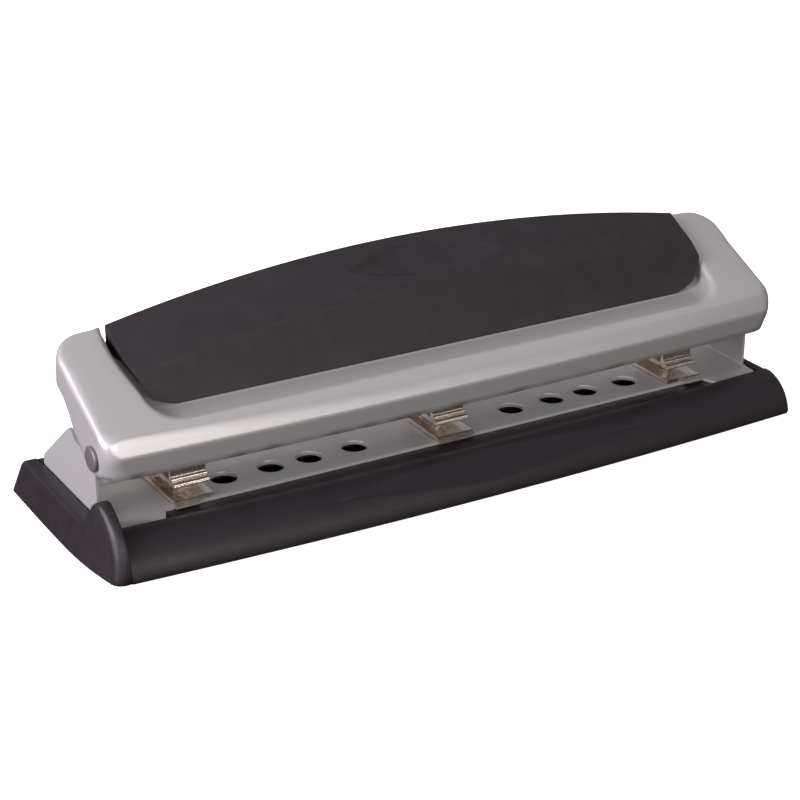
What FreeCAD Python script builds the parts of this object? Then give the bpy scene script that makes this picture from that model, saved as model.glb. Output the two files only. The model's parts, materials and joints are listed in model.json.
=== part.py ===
"""Adjustable three hole punch: a desk punch with a pivoted handle, three punch heads and a chip drawer.

Machine frame: X along the punch, Y towards the rear with 0 on the punch pins, Z up from the table.
Every piece is then moved by the same offset, so the origin is the middle of the footprint on the table.
"""
import FreeCAD, Part
import math
import os
import Sketcher
from FreeCAD import Placement, Rotation, Vector

doc = FreeCAD.newDocument("HolePunch")
sheet = doc.addObject("Spreadsheet::Sheet", "Dims")

SIZES = {
    # overall outline
    "right_end": 145.0, "cap_out": 150.6, "front_out": 41.0, "rear_out": 54.0,
    # base plate
    "plate_top": 13.5, "sheet_gauge": 1.2, "ear_out": 141.9, "plate_front": 12.6, "wing_front": 19.5,
    "wing_start": 117.6, "plate_rear": 40.0, "chip_hole_radius": 5.0,
    "hole_a": 34.925, "hole_b": 53.975, "hole_c": 69.85, "hole_d": 88.9,
    # pivot
    "pivot_back": 13.5, "pivot_up": 39.3, "rivet_radius": 2.5, "rivet_head_radius": 4.6,
    "rivet_head_height": 1.5, "lug_radius": 5.5, "pivot_play": 0.05, "washer_gauge": 0.8,
    "rivet_tail": 1.2, "rivet_stand_off": 0.3,
    # base moulding
    "base_bottom": 0.8, "bar_top": 15.0, "bow": 4.5, "base_wall": 2.2, "base_left": 142.4,
    "deck_gauge": 1.8, "rail_front": 22.6, "rail_rear": 32.6, "rail_gauge": 1.8, "end_inset": 2.0,
    "scoop_half": 52.0, "scoop_depth": 7.5, "scoop_back": 32.0, "scoop_left": 3.0,
    "slot_left": 118.0, "slot_right": 123.0, "slot_half": 5.5, "boss_radius": 3.2, "boss_height": 7.5,
    # chip drawer
    "drawer_gap": 0.4, "tray_wall": 1.6, "tray_top": 9.8, "tray_floor": 1.4, "tray_end": 136.0,
    "cap_bow": 2.5, "cap_draft": 2.3,
    # feet and screws
    "foot_radius": 4.5, "foot_x": 118.0, "foot_front": 30.0, "foot_rear": 44.5,
    "screw_radius": 1.5, "screw_head_radius": 3.0, "screw_head_height": 1.6, "screw_cross": 4.0,
    "screw_cross_width": 0.7, "screw_cross_depth": 0.7, "plate_screw_length": 8.5, "rail_screw_length": 5.6,
    "plate_screw_inner": 52.0, "plate_screw_outer": 126.0, "plate_screw_y": 37.0,
    # guide rail behind the heads
    "rail_y": 15.4, "rail_width": 5.2, "rail_height": 3.0, "rail_half": 134.0, "rail_screw_x": 128.0,
    # punch heads
    "head_pitch": 107.95, "head_shift": 2.5, "head_half": 6.8, "head_strip": 2.0,
    "head_gauge": 1.4, "head_clear": 0.3, "head_rear": 14.0, "head_top": 30.0, "jaw_under": 18.4,
    # punch pins
    "pin_radius": 3.5, "pin_play": 0.05, "pin_tip": 19.9, "pin_top": 43.65, "pin_notch": 1.4,
    "collar_radius": 6.0, "collar_height": 1.3, "collar_top": 42.3,
    "spring_radius": 4.6, "spring_wire": 0.9, "spring_turns": 4.0, "spring_gap": 0.02,
    "pin_chamfer": 0.6,
    # handle
    "handle_out": 143.6, "handle_gauge": 1.2, "slope_deg": 26.3, "plane_height": 59.65,
    "recess_half": 123.9, "recess_corner": 9.0, "floor_drop": 7.1, "arm_corner": 16.0,
    "press_radius": 3.0, "press_height": 47.0, "press_half": 130.0,
    # handle pad
    "pad_half": 123.4, "pad_crown": 8.4, "pad_wall": 2.2, "pad_gap": 0.1,
    "pad_screw_x": 80.0, "pad_screw_y": 12.0, "pad_screw_length": 12.0, "pad_post_radius": 3.4,
    "pad_lean_deg": 74.3, "pad_tilt_deg": 27.9, "pad_crest_back": 2.5, "pad_crest_up": 61.1,
}

for row, (alias, number) in enumerate(SIZES.items(), start=1):
    sheet.set(f"A{row}", alias)
    sheet.set(f"B{row}", str(number))
    sheet.setAlias(f"B{row}", alias)
doc.recompute()


class Size:
    """A sheet cell, or sums and products of cells, kept both as a number and as its expression."""

    def __init__(self, value, text):
        self.value = value
        self.text = text

    def __add__(self, other):
        return Size(self.value + number_of(other), f"({self.text} + {text_of(other)})")

    def __sub__(self, other):
        return Size(self.value - number_of(other), f"({self.text} - {text_of(other)})")

    def __mul__(self, other):
        return Size(self.value * number_of(other), f"({self.text} * {text_of(other)})")

    def __neg__(self):
        return Size(-self.value, f"(0 - {self.text})")


def number_of(item):
    return item.value if isinstance(item, Size) else float(item)


def text_of(item):
    return item.text if isinstance(item, Size) else repr(float(item))


class Cells:
    """Gives each cell of the sheet as a Size, by its alias."""

    def __getattr__(self, alias):
        return Size(float(sheet.get(alias)), f"Dims.{alias}")


cell = Cells()
frame_x = (cell.cap_out - cell.right_end) * 0.5
frame_y = (cell.front_out - cell.rear_out) * 0.5
table = Size(0.0, "0.0")
nodes = []


# ---------------------------------------------------------------- helpers
def put(obj, x=0, y=0, z=0, rotation=None):
    """Places a sub-part at a point of the machine frame, bound to the sheet."""
    if rotation is not None:
        obj.Placement = Placement(Vector(), rotation)
    for axis, place in (("x", frame_x + x), ("y", frame_y + y), ("z", table + z)):
        obj.setExpression(f"Placement.Base.{axis}", place.text)
    nodes.append(obj)


def new_body(label):
    body = doc.addObject("PartDesign::Body", label)
    body.Label = label
    return body


def new_sketch(body, name, role, offset=None):
    """Makes a sketch on one of the body's origin planes, or parallel to it at an offset."""
    sketch = body.newObject("Sketcher::SketchObject", name)
    plane = [feature for feature in body.Origin.OriginFeatures if feature.Role == role][0]
    sketch.AttachmentSupport = (plane, [""])
    sketch.MapMode = "FlatFace"
    if offset is not None:
        sketch.setExpression("AttachmentOffset.Base.z", offset.text)
    return sketch


def outline(sketch, corners):
    """Draws a closed outline whose corners are bound to the sheet."""
    count = len(corners)
    points = [Vector(number_of(across), number_of(up), 0) for across, up in corners]
    for index in range(count):
        sketch.addGeometry(Part.LineSegment(points[index], points[(index + 1) % count]), False)
    for index in range(count):
        sketch.addConstraint(Sketcher.Constraint("Coincident", index, 2, (index + 1) % count, 1))
    for index, corner in enumerate(corners):
        for kind, item in zip(("DistanceX", "DistanceY"), corner):
            made = sketch.addConstraint(Sketcher.Constraint(kind, -1, 1, index, 1, number_of(item)))
            if isinstance(item, Size):
                sketch.setExpression(f"Constraints[{made}]", item.text)


def circle(sketch, across, up, radius):
    """Draws a circle whose centre and radius are bound to the sheet."""
    centre = Vector(number_of(across), number_of(up), 0)
    index = sketch.addGeometry(Part.Circle(centre, Vector(0, 0, 1), number_of(radius)), False)
    made = sketch.addConstraint(Sketcher.Constraint("Radius", index, number_of(radius)))
    sketch.setExpression(f"Constraints[{made}]", text_of(radius))
    for kind, item in (("DistanceX", across), ("DistanceY", up)):
        made = sketch.addConstraint(Sketcher.Constraint(kind, -1, 1, index, 3, number_of(item)))
        if isinstance(item, Size):
            sketch.setExpression(f"Constraints[{made}]", item.text)


def pad(body, name, sketch, length, both_ways=False):
    feature = body.newObject("PartDesign::Pad", name)
    feature.Profile = sketch
    feature.setExpression("Length", text_of(length))
    feature.Midplane = both_ways
    return feature


def pocket(body, name, sketch):
    """Cuts the sketch right through the body, both ways."""
    doc.recompute()
    before = body.Shape.Volume
    feature = body.newObject("PartDesign::Pocket", name)
    feature.Profile = sketch
    feature.Type = "ThroughAll"
    feature.Midplane = True
    doc.recompute()
    if body.Shape.Volume >= before:
        raise RuntimeError(f"{name} cut nothing")
    return feature


def revolve(body, name, sketch):
    feature = body.newObject("PartDesign::Revolution", name)
    feature.Profile = sketch
    feature.ReferenceAxis = (sketch, ["V_Axis"])
    feature.Angle = 360
    return feature


def turned(label, profile, x=0, y=0, z=0, rotation=None):
    """Makes a turned piece from a profile of (radius, height) corners."""
    body = new_body(label)
    sketch = new_sketch(body, label + "_profile", "XZ_Plane")
    outline(sketch, profile)
    revolve(body, label + "_turn", sketch)
    put(body, x, y, z, rotation)
    return body


def ring(label, outer, inner, height, x=0, y=0, z=0, rotation=None):
    body = new_body(label)
    sketch = new_sketch(body, label + "_profile", "XY_Plane")
    circle(sketch, 0, 0, outer)
    circle(sketch, 0, 0, inner)
    pad(body, label + "_pad", sketch, height)
    put(body, x, y, z, rotation)
    return body


def group(label, solids, x=0, y=0, z=0):
    """Makes one node from separate solids, or from one solid that Part's own functions made."""
    feature = doc.addObject("Part::Feature", label)
    feature.Label = label
    feature.Shape = Part.makeCompound(solids) if len(solids) > 1 else solids[0]
    put(feature, x, y, z)
    return feature


def wire_of(stretches):
    """Joins (y, z) points into a closed wire at X = 0. Four numbers are an arc's middle and end."""
    edges = []
    start = Vector(0, *stretches[0])
    first = start
    for stretch in stretches[1:]:
        if len(stretch) == 4:
            middle = Vector(0, stretch[0], stretch[1])
            end = Vector(0, stretch[2], stretch[3])
            edges.append(Part.Arc(start, middle, end).toShape())
        else:
            end = Vector(0, *stretch)
            edges.append(Part.makeLine(start, end))
        start = end
    edges.append(Part.makeLine(start, first))
    return Part.Wire(edges)


def prism(stretches, low_x, high_x):
    """Extrudes a (y, z) outline along X."""
    face = Part.Face(wire_of(stretches))
    face.translate(Vector(low_x, 0, 0))
    return face.extrude(Vector(high_x - low_x, 0, 0))


def block(low, high):
    low, high = Vector(*low), Vector(*high)
    size = high - low
    return Part.makeBox(size.x, size.y, size.z, low)


def bowed(stretches, radius, centre_y, low_x, high_x):
    """Turns a (y, z) outline about a far vertical axis, so that it runs along X with a gentle bow."""
    half = math.degrees(math.asin(high_x / radius)) + 0.3
    face = Part.Face(wire_of(stretches))
    face.rotate(Vector(0, centre_y, 0), Vector(0, 0, 1), -half)
    whole = face.revolve(Vector(0, centre_y, 0), Vector(0, 0, 1), 2 * half)
    reach = 400.0
    return whole.common(block((low_x, -reach, -reach), (high_x, reach, reach)))


def round_uprights(shape, at_y, radius):
    """Rounds the two upright edges that stand at the given y."""
    picked = []
    for edge in shape.Edges:
        ends = [vertex.Point for vertex in edge.Vertexes]
        stands_there = all(abs(end.y - at_y) < 0.01 for end in ends)
        if len(ends) == 2 and stands_there and abs(ends[0].z - ends[1].z) > 1.0:
            picked.append(edge)
    return shape.makeFillet(radius, picked)


def one_solid(shape):
    """Takes the single solid out of a boolean's result."""
    shape = shape.removeSplitter()
    if len(shape.Solids) != 1:
        raise RuntimeError(f"{len(shape.Solids)} solids where one was due")
    return shape.Solids[0]


# ---------------------------------------------------------------- numbers that several pieces share
plate_top = cell.plate_top.value
gauge = cell.sheet_gauge.value
plate_under = plate_top - gauge
deck_under = plate_under - cell.deck_gauge.value
floor_z = cell.base_bottom.value
right_end = cell.right_end.value
end_wall_out = right_end - cell.end_inset.value
base_left = -cell.base_left.value
rear_out = cell.rear_out.value
pivot = Vector(0, -cell.pivot_back.value, cell.pivot_up.value)
slope = math.radians(cell.slope_deg.value)
plate_screw_places = [
    Vector(side * x.value, cell.plate_screw_y.value, 0)
    for side in (-1, 1) for x in (cell.plate_screw_inner, cell.plate_screw_outer)]
head_places = {
    "left": cell.head_shift - cell.head_pitch,
    "middle": cell.head_shift,
    "right": cell.head_shift + cell.head_pitch,
}


def plane_z(y, drop=0.0):
    """Height of the handle's top plane at y, or of a plane parallel to it and lower by drop."""
    return cell.plane_height.value + math.tan(slope) * y - drop / math.cos(slope)


# ---------------------------------------------------------------- base plate
def make_base_plate():
    """Pressed steel plate with two upturned ears, chip holes, and a wing at each front corner."""
    body = new_body("base_plate")
    half = cell.ear_out
    front = -cell.plate_front
    wing = -cell.wing_front
    sheet_outline = new_sketch(body, "plate_outline", "XY_Plane", cell.plate_top - cell.sheet_gauge)
    outline(sheet_outline, [
        (-half, cell.plate_rear), (-half, front + 3.0), (-half, front), (-half + 2.0, wing),
        (-cell.wing_start - 3.0, wing), (-cell.wing_start, front),
        (cell.wing_start, front), (cell.wing_start + 3.0, wing),
        (half - 2.0, wing), (half, front), (half, front + 3.0), (half, cell.plate_rear)])
    pad(body, "plate_sheet", sheet_outline, cell.sheet_gauge)
    for side, inner in (("left", -cell.ear_out), ("right", cell.ear_out - cell.sheet_gauge)):
        ear = new_sketch(body, f"ear_{side}", "YZ_Plane", inner)
        outline(ear, [
            (-9.9, cell.plate_top - cell.sheet_gauge), (-10.6, 31.0), (-10.6, 38.0), (-9.0, 42.0),
            (2.0, 37.0), (7.5, 37.2), (9.6, 39.6), (12.4, 40.2), (14.6, 38.9), (39.3, 19.4),
            (39.6, cell.plate_top - cell.sheet_gauge)])
        pad(body, f"ear_{side}_sheet", ear, cell.sheet_gauge)
        lug = new_sketch(body, f"lug_{side}", "YZ_Plane", inner)
        circle(lug, -cell.pivot_back, cell.pivot_up, cell.lug_radius)
        pad(body, f"lug_{side}_sheet", lug, cell.sheet_gauge)
    bores = new_sketch(body, "rivet_holes", "YZ_Plane")
    circle(bores, -cell.pivot_back, cell.pivot_up, cell.rivet_radius)
    pocket(body, "rivet_hole_cut", bores)
    holes = new_sketch(body, "chip_holes", "XY_Plane")
    for place in (cell.hole_a, cell.hole_b, cell.hole_c, cell.hole_d):
        circle(holes, place, 0, cell.chip_hole_radius)
        circle(holes, -place, 0, cell.chip_hole_radius)
    for place in head_places.values():
        circle(holes, place, 0, cell.chip_hole_radius)
    for place in (cell.plate_screw_inner, cell.plate_screw_outer):
        circle(holes, place, cell.plate_screw_y, cell.screw_radius)
        circle(holes, -place, cell.plate_screw_y, cell.screw_radius)
    for place in (cell.rail_screw_x, -cell.rail_screw_x):
        circle(holes, place, cell.rail_y + cell.rail_width * 0.5, cell.screw_radius)
    pocket(body, "chip_hole_cut", holes)
    put(body)


# ---------------------------------------------------------------- base moulding
def make_base_moulding():
    """Black plastic base: bowed front bar, deck under the plate, rear rail and a closed right end."""
    wall = cell.base_wall.value
    front = -cell.front_out.value
    bow = cell.bow.value
    radius = (right_end ** 2 + bow ** 2) / (2 * bow)
    centre_y = front + radius
    top = cell.bar_top.value
    rail_front = -cell.rail_front.value
    rail_rear = cell.rail_rear.value
    rail_gauge = cell.rail_gauge.value
    outer = [(front, floor_z), (front, floor_z + 1.0), (front + 3.55, 9.8, front + 13.2, top),
             (front + 15.4, top), (front + 17.0, plate_under), (front + 19.5, plate_under),
             (front + 19.5, floor_z)]
    inner = [(front + wall, -1.0), (front + wall, 3.0),
             (front + 3.55 + wall * 0.8, 9.8 - wall * 0.6, front + 13.2, top - wall),
             (front + 14.4, top - wall), (front + 16.0, deck_under), (front + 40.0, deck_under),
             (front + 40.0, -1.0)]
    bar = bowed(outer, radius, centre_y, base_left, right_end)
    hollow = bowed(inner, radius, centre_y, base_left + wall, right_end - wall)
    deck = block((base_left, rail_front - 2.0, deck_under), (end_wall_out, 46.0, plate_under))
    rear_outline = [(44.0, floor_z), (rear_out - 0.7, floor_z), (46.6, 13.0), (45.4, 15.0, 43.5, 15.6),
                    (40.6, 15.6), (40.6, deck_under), (44.0, deck_under)]
    rear = prism(rear_outline, base_left, end_wall_out)
    rear_hollow = prism([(rail_rear + rail_gauge, -1.0), (rear_out - 0.7 - wall, -1.0), (46.6 - wall, 11.0),
                         (rail_rear + rail_gauge, 10.5)], base_left + wall, end_wall_out - wall)
    scoop_half, scoop_depth = cell.scoop_half.value, cell.scoop_depth.value
    scoop_x, scoop_y = -cell.scoop_left.value, -cell.scoop_back.value
    scoop_radius = (scoop_half ** 2 + scoop_depth ** 2) / (2 * scoop_depth)
    scoop = Part.makeCylinder(scoop_radius, 20.0, Vector(scoop_x, scoop_y + scoop_radius, plate_under))
    scoop = scoop.common(block((-80.0, -40.0, 0.0), (80.0, -23.0, 40.0)))
    backing_half = scoop_half + wall
    backing = block((scoop_x - backing_half, front, deck_under), (scoop_x + backing_half, -24.0, top))
    hollow = hollow.cut(backing)
    shell = bar.fuse(deck).fuse(rear)
    shell = shell.cut(hollow).cut(rear_hollow)
    for low_y in (rail_front - rail_gauge, rail_rear):
        high = (end_wall_out, low_y + rail_gauge, plate_under)
        shell = shell.fuse(block((base_left, low_y, floor_z), high))
    end_outline = [(-34.8, floor_z), (rear_out - 2.2, floor_z), (46.6, 12.3), (-34.8, 12.3)]
    shell = shell.fuse(prism(end_outline, end_wall_out - wall, end_wall_out))
    for low_y, high_y in ((rail_front - 12.0, rail_front), (rail_rear, 44.5)):
        shell = shell.fuse(block((base_left, low_y, floor_z), (base_left + wall, high_y, 11.5)))
    web_half = cell.foot_radius.value + 1.0
    for x in (-cell.foot_x.value, cell.foot_x.value):
        web = block((x - web_half, front, floor_z), (x + web_half, rear_out, floor_z + wall))
        shell = shell.fuse(web.common(bar.fuse(rear)))
    boss_low = deck_under - cell.boss_height.value
    boss_height = plate_under - boss_low - 1.0
    for place in plate_screw_places:
        foot = place + Vector(0, 0, boss_low)
        shell = shell.fuse(Part.makeCylinder(cell.boss_radius.value, boss_height, foot))
    channel = block((base_left - 1.0, rail_front, 0.0), (end_wall_out - wall, rail_rear, deck_under))
    shell = shell.cut(channel)
    slot_half = cell.slot_half.value
    slot_low = (-cell.slot_left.value, -slot_half, 0.0)
    shell = shell.cut(block(slot_low, (cell.slot_right.value, slot_half, 20.0)))
    hole_low = plate_top - cell.plate_screw_length.value
    for place in plate_screw_places:
        shell = shell.cut(Part.makeCylinder(cell.screw_radius.value, 10.0, place + Vector(0, 0, hole_low)))
    for side in (-1, 1):
        hole = Part.makeCylinder(cell.screw_radius.value, 6.0, Vector(
            side * cell.rail_screw_x.value, cell.rail_y.value + cell.rail_width.value / 2, deck_under - 1.0))
        shell = shell.cut(hole)
    group("base_moulding", [one_solid(shell.cut(scoop))])


# ---------------------------------------------------------------- chip drawer
def make_chip_drawer():
    """Chip tray that slides out to the left, moulded in one with its end cap."""
    inner = -(cell.base_left + cell.drawer_gap).value
    gap = cell.drawer_gap.value
    wall = cell.tray_wall.value
    low_y = -cell.rail_front.value + gap
    high_y = cell.rail_rear.value - gap
    top = cell.tray_top.value
    bottom = cell.tray_floor.value
    end = cell.tray_end.value
    tray = block((inner - 1.0, low_y, bottom), (end, high_y, top))
    tray = tray.cut(block((inner + wall, low_y + wall, bottom + wall), (end - wall, high_y - wall, 30.0)))
    side = [(-35.4, floor_z), (-36.2, floor_z + 1.2), (-32.8, 15.2, -21.0, 25.2),
            (-17.0, 24.4, -14.3, 21.4), (-11.6, 17.2), (-10.2, 15.9, -7.6, 15.4), (43.2, 15.8),
            (46.4, 14.9, 48.2, 12.5), (rear_out, floor_z)]
    out = cell.cap_out.value
    cap = prism(side, -out, inner)
    half = (36.2 + rear_out) / 2
    centre_y = (rear_out - 36.2) / 2
    radius = (half ** 2 + cell.cap_bow.value ** 2) / (2 * cell.cap_bow.value)
    height = 30.0
    lean = cell.cap_draft.value * height / 15.0
    face = Part.makeCone(radius, radius - lean, height, Vector(-out + radius, centre_y, floor_z))
    group("chip_drawer", [one_solid(cap.common(face).fuse(tray))])


# ---------------------------------------------------------------- feet, screws, guide rail, rivets
def make_screws(label, places, shank):
    """Pan head screws, as one node of separate solids. Each place is the point under the head."""
    solids = []
    head_radius = cell.screw_head_radius.value
    reach, narrow = cell.screw_cross.value / 2, cell.screw_cross_width.value / 2
    cross_low = cell.screw_head_height.value - cell.screw_cross_depth.value
    for place in places:
        head = Part.makeCylinder(head_radius, cell.screw_head_height.value, place)
        head = head.makeFillet(0.7, [head.Edges[0]])
        for reach_x, reach_y in ((reach, narrow), (narrow, reach)):
            corner = Vector(reach_x, reach_y, 0)
            low = place - corner + Vector(0, 0, cross_low)
            head = head.cut(block(low, place + corner + Vector(0, 0, 3.0)))
        stem = Part.makeCylinder(cell.screw_radius.value, shank, place - Vector(0, 0, shank))
        solids.append(one_solid(head.fuse(stem)))
    group(label, solids)


def make_small_parts():
    feet = []
    for x in (-cell.foot_x.value, cell.foot_x.value):
        for y in (-cell.foot_front.value, cell.foot_rear.value):
            feet.append(Part.makeCylinder(cell.foot_radius.value, floor_z, Vector(x, y, 0)))
    group("rubber_feet", feet)
    places = [place + Vector(0, 0, plate_top) for place in plate_screw_places]
    make_screws("plate_screws", places, cell.plate_screw_length.value)
    rail_top = plate_top + cell.rail_height.value
    rail_mid = cell.rail_y.value + cell.rail_width.value / 2
    places = [Vector(side * cell.rail_screw_x.value, rail_mid, rail_top) for side in (-1, 1)]
    make_screws("rail_screws", places, cell.rail_screw_length.value)

    rail = doc.addObject("Part::Box", "rail_bar")
    rail.setExpression("Length", (cell.rail_half * 2).text)
    rail.setExpression("Width", cell.rail_width.text)
    rail.setExpression("Height", cell.rail_height.text)
    rail.Placement.Base = Vector(-cell.rail_half.value, cell.rail_y.value, plate_top)
    drills = []
    for side in (-1, 1):
        drill = doc.addObject("Part::Cylinder", f"rail_drill_{'left' if side < 0 else 'right'}")
        drill.setExpression("Radius", cell.screw_radius.text)
        drill.Height = 20
        drill.Placement.Base = Vector(side * cell.rail_screw_x.value, rail_mid, plate_top - 5)
        drills.append(drill)
    first = doc.addObject("Part::Cut", "rail_cut")
    first.Base, first.Tool = rail, drills[0]
    bored = doc.addObject("Part::Cut", "guide_rail")
    bored.Label = "guide_rail"
    bored.Base, bored.Tool = first, drills[1]
    put(bored)

    for side, sign in (("left", -1), ("right", 1)):
        tail = cell.sheet_gauge + cell.washer_gauge + cell.rivet_tail
        stem = cell.handle_out - cell.ear_out + cell.rivet_stand_off
        profile = [(0, -tail), (cell.rivet_head_radius * 0.8, -tail),
                   (cell.rivet_head_radius * 0.8, -tail + cell.rivet_tail),
                   (cell.rivet_radius, -tail + cell.rivet_tail), (cell.rivet_radius, stem),
                   (cell.rivet_head_radius, stem), (cell.rivet_head_radius, stem + 0.9),
                   (cell.rivet_head_radius - 0.7, stem + cell.rivet_head_height),
                   (0, stem + cell.rivet_head_height)]
        turn = Rotation(Vector(0, 1, 0), 90 * sign)
        face_x = cell.ear_out * sign
        turned(f"pivot_rivet_{side}", profile, face_x, -cell.pivot_back, cell.pivot_up, turn)
        washer_x = (cell.ear_out - cell.sheet_gauge - cell.washer_gauge) * sign
        ring(f"pivot_washer_{side}", cell.rivet_head_radius, cell.rivet_radius, cell.washer_gauge,
             washer_x, -cell.pivot_back, cell.pivot_up, turn)


# ---------------------------------------------------------------- punch heads
def make_head(name, place):
    """One head: bent bracket with its jaws, and the pin, collar and spring that it guides."""
    half = cell.head_half.value
    gauge_head = cell.head_gauge.value
    low = plate_top + cell.head_clear.value
    lower_top = low + gauge_head
    under = cell.jaw_under.value
    rear = cell.head_rear.value
    top = cell.head_top.value
    left = -half - cell.head_strip.value
    lip = [(-12.0, low), (-12.0, lower_top), (-12.7, lower_top - 0.1, -13.2, lower_top - 0.5),
           (-14.7, 13.25), (-13.95, 12.6), (-12.95, 13.5), (-12.95, low)]
    parts = [
        block((left, -12.0, low), (half, rear, lower_top)),
        block((-half, rear - gauge_head, low), (half, rear, top)),
        block((-half, -5.0, under), (half, rear, under + 1.6)),
        block((-half, -5.8, under + 1.6), (half, -4.4, top)),
        block((-half, -5.8, top - gauge_head), (half, rear, top)),
        prism([(-4.4, under), (-8.5, under - 0.4), (-9.1, under + 0.1, -8.9, under + 0.7),
               (-8.2, under + 1.5, -7.3, under + 1.3), (-6.9, under + 1.5),
               (-6.6, under + 2.7, -5.6, under + 2.8), (-4.4, under + 2.8)], -half, half),
        block((-half, rear, 17.0), (half, 22.4, 18.2)),
        block((-half, 21.0, 14.0), (half, 22.4, 18.2)),
    ]
    lip_spans = {"left": (left, 0.5), "middle": (left, half), "right": (-1.5, half)}
    parts.append(prism(lip, *lip_spans[name]))
    bracket = parts[0].multiFuse(parts[1:])
    bore = Part.makeCylinder(cell.pin_radius.value + cell.pin_play.value, 60.0)
    group(f"head_frame_{name}", [one_solid(bracket.cut(bore))], place)

    pin = new_body(f"punch_pin_{name}")
    profile = new_sketch(pin, f"pin_{name}_profile", "XZ_Plane")
    chamfer = cell.pin_chamfer
    outline(profile, [(0, cell.pin_tip), (cell.pin_radius, cell.pin_tip),
                      (cell.pin_radius, cell.pin_top - chamfer),
                      (cell.pin_radius - chamfer, cell.pin_top), (0, cell.pin_top)])
    revolve(pin, f"pin_{name}_turn", profile)
    notch = new_sketch(pin, f"pin_{name}_notch", "YZ_Plane")
    outline(notch, [(-cell.pin_radius, cell.pin_tip - 1.0), (cell.pin_radius, cell.pin_tip - 1.0),
                    (0, cell.pin_tip + cell.pin_notch)])
    pocket(pin, f"pin_{name}_notch_cut", notch)
    put(pin, place)

    ring(f"pin_collar_{name}", cell.collar_radius, cell.pin_radius, cell.collar_height,
         place, 0, cell.collar_top - cell.collar_height)

    wire = cell.spring_wire.value / 2
    clear = wire + cell.spring_gap.value
    bottom = top + clear
    height = cell.collar_top.value - cell.collar_height.value - clear - bottom
    helix = Part.makeHelix(height / cell.spring_turns.value, height, cell.spring_radius.value)
    helix.translate(Vector(0, 0, bottom))
    start = Vector(cell.spring_radius.value, 0, bottom)
    section = Part.Wire(Part.makeCircle(wire, start, Vector(0, 1, 0.09)))
    coil = Part.Wire(helix.Edges).makePipeShell([section], True, True)
    group(f"pin_spring_{name}", [coil.Solids[0] if coil.Solids else Part.Solid(coil)], place)


# ---------------------------------------------------------------- handle
def make_handle_shell():
    """Pressed steel handle: sloping top with a dished recess, side walls, and a rounded front band."""
    out = cell.handle_out.value
    sheet_t = cell.handle_gauge.value

    def side_outline(inset):
        """The closed outline seen from the side, moved in by inset at the top and the front."""
        front_top = -20.3 + inset
        return [(17.0, plane_z(17.0, inset)), (front_top, plane_z(front_top, inset)),
                (-22.2 + inset, 46.6 - 0.4 * inset), (-24.4 + inset, 44.0, -25.2 + inset, 41.4),
                (-23.6 + inset, 33.4), (-17.0, 33.4), (-12.0, 33.0, -7.0, 35.5),
                (3.0, 42.9), (7.0, 48.5), (12.0, 53.2), (17.5, 55.8, 19.6, 59.5), (19.6, 63.0)]

    outer = prism(side_outline(0.0), -out, out)
    inner = prism(side_outline(sheet_t), -out + sheet_t, out - sheet_t)
    inner = inner.fuse(block((-out + sheet_t, -22.0, 20.0), (out - sheet_t, -12.0, 36.0)))
    inner = inner.fuse(prism([(-22.0, 30.0), (30.0, 30.0), (30.0, plane_z(30.0, sheet_t)),
                              (-10.0, plane_z(-10.0, sheet_t))], -out + sheet_t, out - sheet_t))
    half = cell.recess_half.value
    drop = cell.floor_drop.value
    floor_start = -6.0
    floor_at = plane_z(floor_start, drop)
    recess = [(-19.2, 49.0), (floor_start, floor_at), (24.5, plane_z(24.5, drop)), (24.5, 90.0), (-19.2, 90.0)]
    under = [(-20.4, 47.8), (floor_start, floor_at - sheet_t), (22.8, plane_z(22.8, drop) - sheet_t),
             (22.8, 90.0), (-20.4, 90.0)]
    cavity = round_uprights(prism(recess, -half, half), -19.2, cell.recess_corner.value)
    dish_half = half + sheet_t
    dish = prism(under, -dish_half, dish_half)
    dish = round_uprights(dish, -20.4, cell.recess_corner.value + sheet_t)
    limit = prism([(-20.4, 40.0), (22.8, 40.0), (22.8, plane_z(22.8)), (-20.4, plane_z(-20.4))], -out, out)
    shell = outer.cut(inner).fuse(dish.common(limit)).cut(cavity)
    bore = Part.makeCylinder(cell.rivet_radius.value + cell.pivot_play.value, 2 * out + 4,
                             Vector(-out - 2, pivot.y, pivot.z), Vector(1, 0, 0))
    shell = shell.cut(bore)
    corner = cell.arm_corner.value
    for side in (-1, 1):
        low_x, high_x = sorted((side * (out - corner), side * (out + 1.0)))
        spare = block((low_x, 22.8 - corner, 66.0), (high_x, 30.0, 80.0))
        keep = Part.makeCylinder(corner, 40.0, Vector(side * (out - corner), 22.8 - corner, 50.0))
        shell = shell.cut(spare.cut(keep))
    for side in (-1, 1):
        x = side * cell.pad_screw_x.value
        y = cell.pad_screw_y.value
        hole = Part.makeCylinder(cell.screw_radius.value, 12.0, Vector(x, y, 50.0))
        shell = shell.cut(hole)
    group("handle_shell", [one_solid(shell)])


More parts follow.
